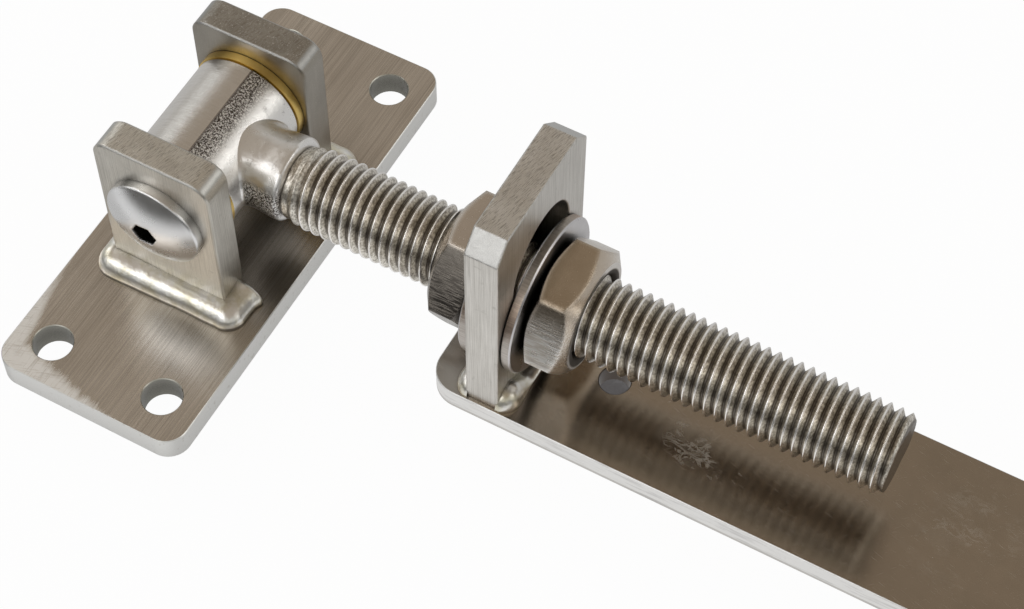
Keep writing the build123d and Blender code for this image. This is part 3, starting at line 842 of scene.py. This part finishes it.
def eye_neck():
    """A Hermite curve from the barrel to the waist for each angle, then a collar. The ring
    on the barrel is wider along the pivot than across it."""
    angle = np.linspace(0, 2 * np.pi, NECK_ROUND, endpoint=False)[None, :]
    spread = RING_R - RING_FLATTER * np.sin(angle) ** 2
    start_x = np.sqrt(barrel_r ** 2 - (spread * np.sin(angle)) ** 2) - 0.15
    lean = -spread * np.sin(angle) ** 2 / start_x
    leave = np.sqrt(1 + lean ** 2)
    t = np.linspace(0, 1, NECK_ALONG)[:, None]
    h00, h10 = 2 * t ** 3 - 3 * t ** 2 + 1, t ** 3 - 2 * t ** 2 + t
    h01, h11 = -2 * t ** 3 + 3 * t ** 2, t ** 3 - t ** 2
    x = h00 * start_x - h10 * lean / leave * LEAVE_PULL + h01 * WAIST[0] + h11 * ARRIVE_PULL
    r = h00 * spread - h10 * LEAVE_PULL / leave + h01 * WAIST[1]
    rise = np.linspace(0, 1, 14)[1:, None]
    collar_x = WAIST[0] + (COLLAR[0] - WAIST[0]) * rise + 0 * angle
    collar_r = WAIST[1] + (COLLAR[1] - WAIST[1]) * ease(rise, 0, 0.8) + 0 * angle
    closing = np.array([(0.35, -0.25), (0.7, -0.8), (0.9, -1.8), (0.9, -COLLAR[1])])
    end_x = COLLAR[0] + closing[:, :1] + 0 * angle
    end_r = COLLAR[1] + closing[:, 1:] + 0 * angle
    x = np.concatenate([10.5 + 0 * angle, start_x - 1.5 + 0 * angle, x, collar_x, end_x])
    r = np.concatenate([0 * angle, spread - 3.0, r, collar_r, end_r])
    points = np.stack([x, r * np.cos(angle), pivot_z + r * np.sin(angle)], axis=-1)
    rough = 0.07 * lumps(points, 2.6, 3) + 0.03 * lumps(points, 0.9, 5)
    swell = rough * ease(x, 9.0, 14.0) * ease(-x, -21.0, -19.5)
    r = r * (1 + swell / np.maximum(r, 1.0))
    points = np.stack([x, r * np.cos(angle), pivot_z + r * np.sin(angle)], axis=-1)
    return points, quads(len(x), NECK_ROUND)


neck_points, neck_faces = eye_neck()
piece("eye_neck", "eye", neck_points, neck_faces, cast_material)

# %% [markdown]
# A weld bead is a rope of metal laid in the corner between two plates. Its section is a
# bulging quarter round, closed behind inside the steel, and it is carried along the
# corner. Each pulse of the welder leaves a curved ripple, so the skin rises and falls
# in crescents along the bead.

# %% Weld beads
RIPPLE = 1.0
RIPPLE_BEND = 3.6
RIPPLE_HEIGHT = 0.006
BULGE = 0.97
BEAD_STEP = 0.12
CORNER_RUN = 5.0


def bead(places, outward, distance, leg, height):
    """Lines along the bead by points of its section. The section goes from (leg, 0) to
    (0, height) as (leg cos^k a, height sin^k a), and back through the corner inside."""
    turn = np.linspace(0, np.pi / 2, 17)[None, :]
    ripple = distance[:, None] / RIPPLE + RIPPLE_BEND * (turn / np.pi * 2 - 0.5) ** 2
    crest = 1 - np.abs(2 * (ripple % 1) - 1) ** 2.2
    wobble = 1 + 0.05 * lumps(places, 6.0, 7)[:, None]
    swell = 1 + RIPPLE_HEIGHT * (crest - 0.5) / np.maximum(height[:, None], 1.0)
    out = leg[:, None] * wobble * np.cos(turn) ** BULGE * swell
    rise = height[:, None] * wobble * np.sin(turn) ** BULGE * swell
    # Three points inside the steel: how far out, the share of the height, how far down
    inside = np.array([(-0.4, 1.0, 0.0), (-0.4, 0.0, -0.4), (1.0, 0.0, -0.4)])
    back_out = np.where(inside[:, 0] > 0, leg[:, None], inside[:, 0])
    back_rise = height[:, None] * inside[:, 1] + inside[:, 2]
    out = np.concatenate([out, back_out], axis=1)
    rise = np.concatenate([rise, back_rise], axis=1)
    up_axis = np.array([0.0, 0.0, 1.0])
    points = places[:, None, :] + out[..., None] * outward[:, None, :] + rise[..., None] * up_axis
    middle = points.mean(axis=1, keepdims=True)
    return np.concatenate([middle[:1] + 0 * points[:1], points, middle[-1:] + 0 * points[-1:]])


def lug_bead_path(side):
    """Round the outside of a lug's foot: along one edge, round a corner, across, round the
    other corner and back. At a corner the place stays and the outward direction turns."""
    inner, outer = sorted(abs(edge) for edge in (lug_low.y, lug_high.y))
    half = lug_high.x
    legs = np.array([outer - inner, CORNER_RUN, 2 * half, CORNER_RUN, outer - inner])
    ends = np.concatenate([[0], np.cumsum(legs)])
    s = np.arange(0, ends[-1], BEAD_STEP)
    part = [np.clip((s - start) / leg, 0, 1) for start, leg in zip(ends, legs)]
    x = -half + 2 * half * part[2]
    y = inner + (outer - inner) * (part[0] - part[4])
    angle = np.pi + np.pi / 2 * (part[1] + part[3])
    places = np.stack([x, side * y, 0 * s + plate_top], axis=-1)
    outward = np.stack([np.cos(angle), -side * np.sin(angle), 0 * s], axis=-1)
    return s, places, outward, 1 - np.abs(2 * s / ends[-1] - 1)


def lug_bead(side):
    """The bead round a lug's foot. It tapers with the square root of the share of its way
    from an end, after a small swell there, and its leg is longer in front and at +X."""
    s, places, outward, share = lug_bead_path(side)
    swell = 1 + 0.12 * np.exp(-((share - 0.09) / 0.04) ** 2)
    taper = np.sqrt(np.clip(share / 0.07, 0.02, 1)) * swell
    leg = (4.6 + 0.4 * np.abs(outward[:, 1]) + 1.0 * outward[:, 0]) * taper
    return bead(places, outward, s, leg, 4.5 * taper)


def bracket_bead(side):
    """Along the foot of the slotted lug, tall at the strap's edges and low under the washer.
    Both ends are a quarter of an ellipse."""
    face = slotted_high.x if side > 0 else slotted_low.x
    half = strap_high.y - 0.5
    y = np.arange(-half, half, BEAD_STEP)
    across = np.abs(y) / half
    height = 0.9 + 3.5 * ease(across, 0.42, 0.75)
    leg = 3.4 + 0.3 * ease(across, 0.42, 0.75)
    taper = np.sqrt(1 - (1 - np.clip((1 - across) / 0.22, 0.01, 1)) ** 2)
    places = np.stack([0 * y + face, y, 0 * y + strap_high.z], axis=-1)
    outward = np.stack([0 * y + side, 0 * y, 0 * y], axis=-1)
    return bead(places, outward, y + half, leg * taper, height * taper)


beads = (
    ("front_lug_weld", "post_plate", lug_bead(-1)),
    ("rear_lug_weld", "post_plate", lug_bead(1)),
    ("bracket_weld_inner", "bracket", bracket_bead(-1)),
    ("bracket_weld_outer", "bracket", bracket_bead(1)),
)
for name, body, points in beads:
    faces = quads(*points.shape[:2])
    made = piece(name + "_bead", body, points, faces, weld_material, 80.0)
    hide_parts(name)
